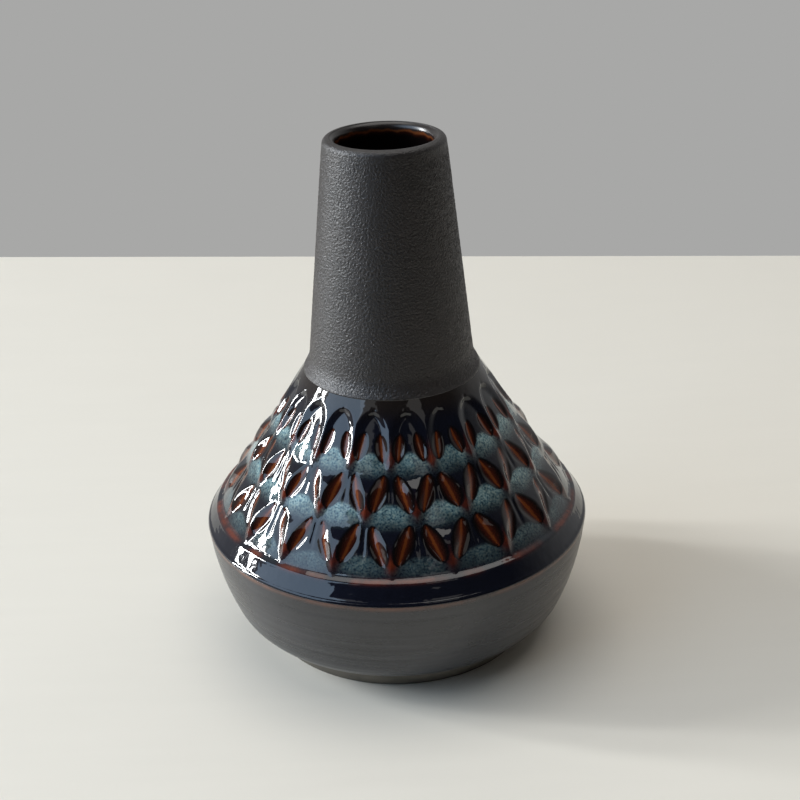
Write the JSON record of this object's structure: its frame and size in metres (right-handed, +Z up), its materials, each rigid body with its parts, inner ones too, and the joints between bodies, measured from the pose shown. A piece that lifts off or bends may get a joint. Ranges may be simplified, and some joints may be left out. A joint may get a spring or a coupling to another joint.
{
  "type": "pottery vase",
  "caption": "Stoneware vase with a tapering tube neck, a cone shoulder carved with three rows of arched niches in glossy glaze, and a satin bowl on a turned foot.",
  "frame": {"origin": "centre of the foot's resting face, on the axis of the pot", "axes": "+Z up along the pot's axis, from the foot to the mouth; -Y is towards the front, and the pattern repeats around Z"},
  "size_m": [0.1352, 0.1352, 0.18],
  "materials": {
    "stoneware_clay": "bare fired clay, matte",
    "satin_pewter_glaze": "satin, faint throwing lines",
    "gloss_relief_glaze": "high gloss, blue rutile over brown and navy",
    "grained_neck_glaze": "satin with a fine raised grain",
    "liner_glaze": "gloss"
  },
  "bodies": {
    "root": {"foot_ring": "stoneware_clay", "bowl": "stoneware_clay", "shoulder": "stoneware_clay", "neck": "stoneware_clay", "bowl_glaze": "satin_pewter_glaze", "shoulder_glaze": "gloss_relief_glaze", "neck_glaze": "grained_neck_glaze", "liner_glaze": "liner_glaze"}
  },
  "joints": []
}
